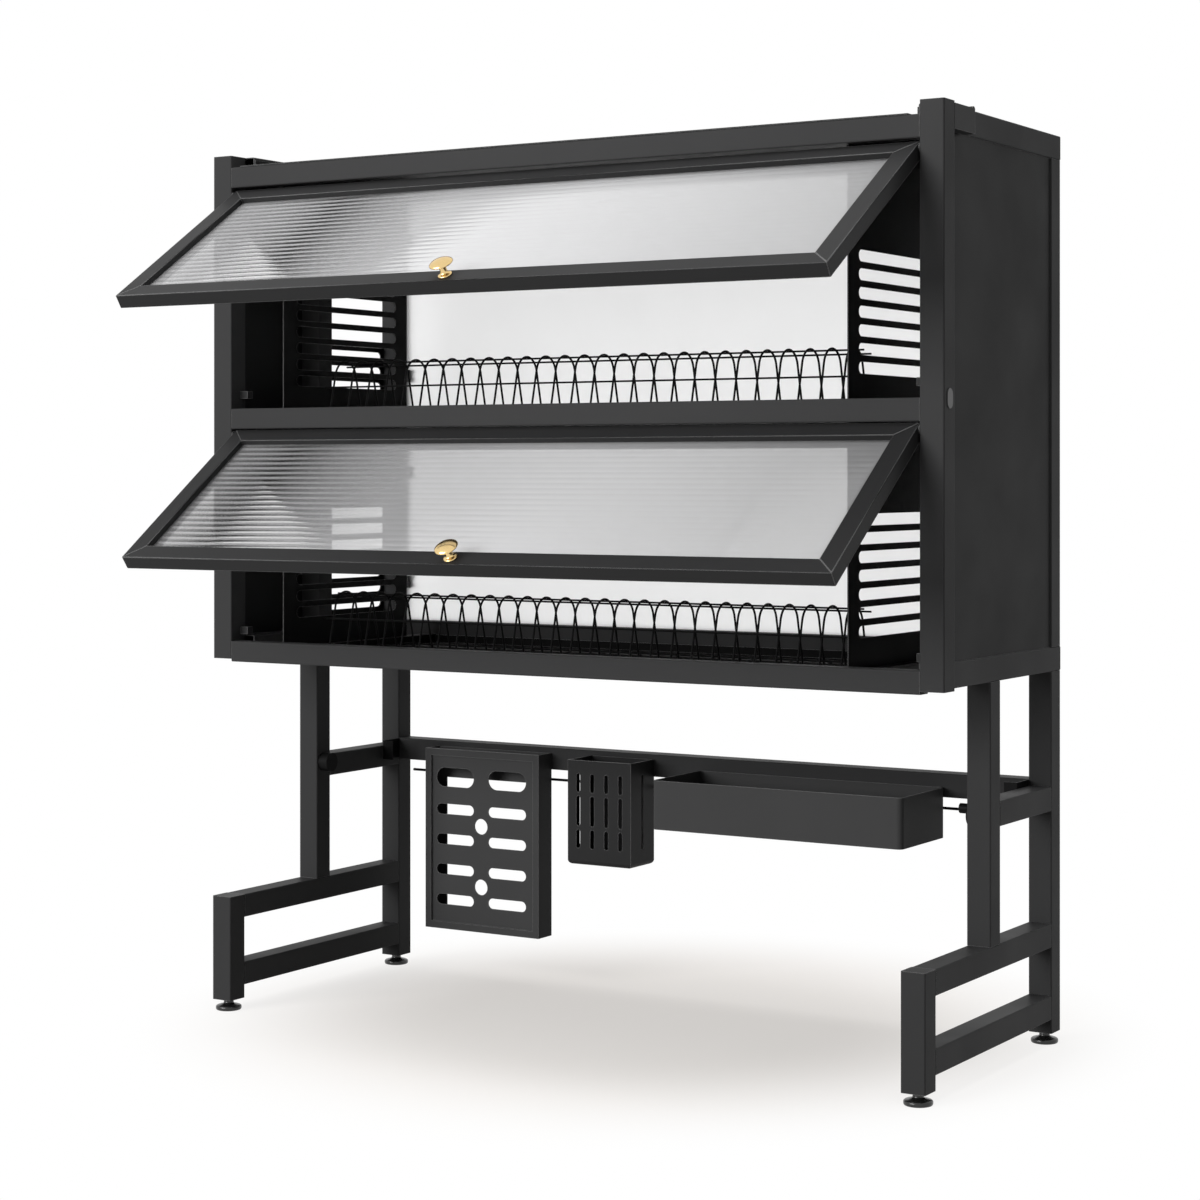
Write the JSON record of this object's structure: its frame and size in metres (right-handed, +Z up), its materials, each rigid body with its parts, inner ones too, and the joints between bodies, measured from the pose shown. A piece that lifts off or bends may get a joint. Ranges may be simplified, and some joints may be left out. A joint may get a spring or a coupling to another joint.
{
  "type": "covered dish drying rack",
  "caption": "Covered dish drying rack on an over-sink stand, with flap doors, wire plate racks and hung holders for boards, cutlery and small things.",
  "frame": {"origin": "on the floor, under the middle of the width and of the depth that the part-open doors reach", "axes": "+X to the right seen from the front, +Y to the back, +Z up"},
  "size_m": [0.8736, 0.519, 0.934],
  "materials": {
    "black_coat": "satin",
    "rack_wire": "satin",
    "drip_sheet": "satin",
    "door_aluminium": "satin",
    "inner_plastic": "matte",
    "ribbed_sheet": "ribbed, clear",
    "frosted_sheet": "frosted",
    "black_plastic": "fine grain",
    "foot_plastic": "satin",
    "bright_steel": "brushed",
    "brass": "polished"
  },
  "bodies": {
    "cabinet": {"front_posts": "black_coat", "top_front_rail": "black_coat", "middle_front_rail": "black_coat", "bottom_front_rail": "black_coat", "top_side_rails": "black_coat", "bottom_side_rails": "black_coat", "middle_side_rails": "black_coat", "rear_posts": "black_coat", "inner_uprights": "black_coat", "top_rear_rail": "black_coat", "middle_rear_rail": "black_coat", "bottom_rear_rail": "black_coat", "tier_bearers": "black_coat", "top_corner_blocks": "black_plastic", "top_panel": "black_coat", "left_side_panel": "black_coat", "right_side_panel": "black_coat", "left_side_guards": "black_coat", "lower_left_partition": "black_coat", "lower_right_partition": "black_coat", "upper_left_partition": "black_coat", "upper_right_partition": "black_coat", "back_panels": "frosted_sheet", "back_panel_clips": "black_plastic", "frame_screws": "bright_steel", "front_foot_posts": "black_coat", "front_uprights": "black_coat", "rear_legs": "black_coat", "upper_stand_rails": "black_coat", "lower_stand_rails": "black_coat", "middle_stand_rails": "black_coat", "back_beam": "black_coat", "hanging_rod": "black_coat", "stand_brackets": "black_coat", "foot_inserts": "black_plastic", "hinge_bushes": "black_plastic", "door_stops": "black_plastic", "tube_end_caps": "black_plastic", "screw_covers": "black_plastic"},
    "upper_door": {"upper_door_frame": "door_aluminium", "upper_door_corner_keys": "inner_plastic", "upper_door_panel": "ribbed_sheet", "upper_hinge_pins": "bright_steel", "upper_knob": "brass"},
    "lower_door": {"lower_door_frame": "door_aluminium", "lower_door_corner_keys": "inner_plastic", "lower_door_panel": "ribbed_sheet", "lower_hinge_pins": "bright_steel", "lower_knob": "brass"},
    "lower_tray": {"lower_drip_tray": "drip_sheet"},
    "upper_tray": {"upper_drip_tray": "drip_sheet"},
    "lower_rack": {"lower_plate_rack": "rack_wire"},
    "upper_rack": {"upper_plate_rack": "rack_wire"},
    "board_holder": {"board_rack": "black_coat"},
    "cutlery_holder": {"utensil_cage": "black_coat"},
    "sundries_holder": {"sundries_tray": "black_coat"},
    "front_left_levelling_foot": {"front_left_foot": "foot_plastic"},
    "front_right_levelling_foot": {"front_right_foot": "foot_plastic"},
    "rear_left_levelling_foot": {"rear_left_foot": "foot_plastic"},
    "rear_right_levelling_foot": {"rear_right_foot": "foot_plastic"}
  },
  "joints": [
    {"name": "upper_door_hinge", "type": "hinge", "parent": "cabinet", "child": "upper_door", "pos_m": [0, -0.057, 0.8898], "axis": [-1, 0, 0], "range_deg": [-57, 33]},
    {"name": "lower_door_hinge", "type": "hinge", "parent": "cabinet", "child": "lower_door", "pos_m": [0, -0.057, 0.6275], "axis": [-1, 0, 0], "range_deg": [-54, 36]},
    {"name": "lower_tray_lift", "type": "slide", "parent": "cabinet", "child": "lower_tray", "axis": [0, 0, 1], "range_m": [0, 0.02]},
    {"name": "lower_rack_lift", "type": "slide", "parent": "lower_tray", "child": "lower_rack", "axis": [0, 0, 1], "range_m": [0, 0.03]},
    {"name": "upper_tray_lift", "type": "slide", "parent": "cabinet", "child": "upper_tray", "axis": [0, 0, 1], "range_m": [0, 0.02]},
    {"name": "upper_rack_lift", "type": "slide", "parent": "upper_tray", "child": "upper_rack", "axis": [0, 0, 1], "range_m": [0, 0.03]},
    {"name": "board_holder_lift", "type": "slide", "parent": "cabinet", "child": "board_holder", "axis": [0, 0, 1], "range_m": [0, 0.007]},
    {"name": "cutlery_holder_lift", "type": "slide", "parent": "cabinet", "child": "cutlery_holder", "axis": [0, 0, 1], "range_m": [0, 0.007]},
    {"name": "sundries_holder_lift", "type": "slide", "parent": "cabinet", "child": "sundries_holder", "axis": [0, 0, 1], "range_m": [0, 0.007]},
    {"name": "front_left_foot_turn", "type": "hinge", "parent": "cabinet", "child": "front_left_levelling_foot", "pos_m": [-0.4115, -0.0655, 0.02], "axis": [0, 0, 1], "continuous": true},
    {"name": "front_right_foot_turn", "type": "hinge", "parent": "cabinet", "child": "front_right_levelling_foot", "pos_m": [0.4115, -0.0655, 0.02], "axis": [0, 0, 1], "continuous": true},
    {"name": "rear_left_foot_turn", "type": "hinge", "parent": "cabinet", "child": "rear_left_levelling_foot", "pos_m": [-0.4115, 0.2455, 0.02], "axis": [0, 0, 1], "continuous": true},
    {"name": "rear_right_foot_turn", "type": "hinge", "parent": "cabinet", "child": "rear_right_levelling_foot", "pos_m": [0.4115, 0.2455, 0.02], "axis": [0, 0, 1], "continuous": true}
  ]
}
